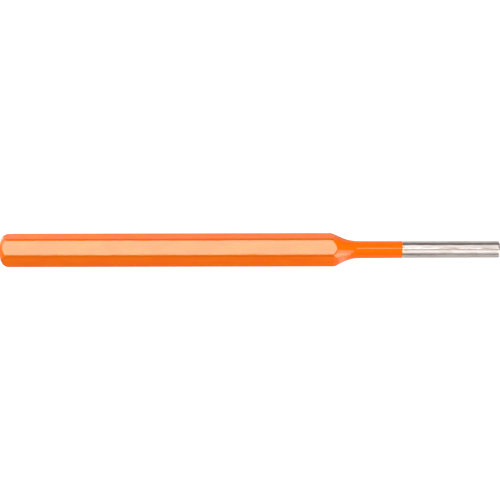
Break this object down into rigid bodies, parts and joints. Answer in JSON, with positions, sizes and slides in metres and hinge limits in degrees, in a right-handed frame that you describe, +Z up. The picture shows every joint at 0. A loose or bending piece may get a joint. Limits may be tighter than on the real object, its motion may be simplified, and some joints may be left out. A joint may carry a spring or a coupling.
{
  "type": "pin punch",
  "caption": "Pin punch: hexagonal shank with a rounded striking head, a tapered neck and a straight bare pin, orange coated up to the pin.",
  "frame": {"origin": "on the plane that the shank's lower flat lies on, under the middle of the tool's length and width", "axes": "+X along the tool from the striking head to the tip, +Z up out of the shank's upper flat"},
  "size_m": [0.15, 0.0102, 0.009],
  "materials": {
    "steel": "bare ground tool steel, bright with fine streaks",
    "paint": "glossy orange lacquer, slightly uneven along the edges"
  },
  "bodies": {
    "root": {"steel_punch": "steel", "paint_coat": "paint"}
  },
  "joints": []
}
